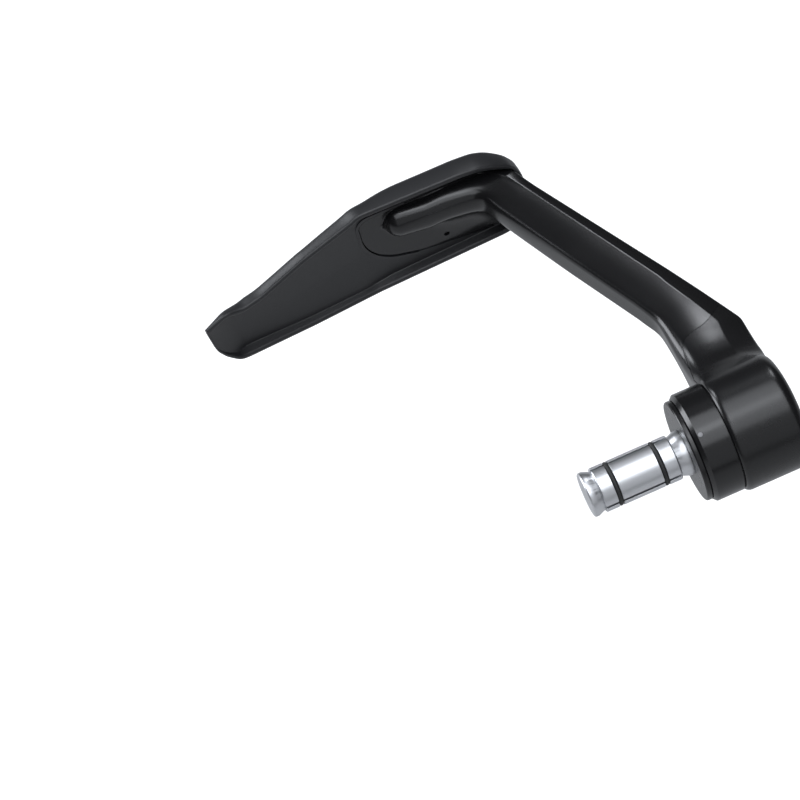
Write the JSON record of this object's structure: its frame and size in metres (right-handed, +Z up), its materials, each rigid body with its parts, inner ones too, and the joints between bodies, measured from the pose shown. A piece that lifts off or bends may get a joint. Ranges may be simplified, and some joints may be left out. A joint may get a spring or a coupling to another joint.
{
  "type": "brake lever guard",
  "caption": "Right-hand brake lever guard: a faceted arm from a round bar-end housing carries a tapered, bent blade, held in the bar by an expanding plug.",
  "frame": {"origin": "on the handlebar's axis, at the spacer's face that seats against the end of the bar tube", "axes": "+X outboard along the bar's axis, +Y forward in the plane of the arm, +Z up, square to the arm's plane"},
  "size_m": [0.1566, 0.1545, 0.047],
  "materials": {
    "blade_nylon": "satin",
    "arm_black": "satin",
    "housing_black": "satin",
    "bright_steel": "brushed",
    "black_steel": "satin",
    "zinc_steel": "satin",
    "plain_aluminium": "satin",
    "ring_rubber": "matte"
  },
  "bodies": {
    "root": {"blade": "blade_nylon", "arm": "arm_black", "end_housing": "housing_black", "spacer_ring": "housing_black", "index_pin": "bright_steel", "joint_screw": "black_steel", "main_bolt": "zinc_steel", "flat_washer": "zinc_steel", "spring_washer": "zinc_steel", "outer_cone": "plain_aluminium", "cone_nut": "plain_aluminium", "sleeve_segment_1": "plain_aluminium", "sleeve_segment_2": "plain_aluminium", "sleeve_segment_3": "plain_aluminium", "rubber_ring_inner": "ring_rubber", "rubber_ring_outer": "ring_rubber", "blade_screw_upper": "black_steel", "blade_screw_lower": "black_steel", "screw_washer_upper": "black_steel", "screw_washer_lower": "black_steel"}
  },
  "joints": []
}
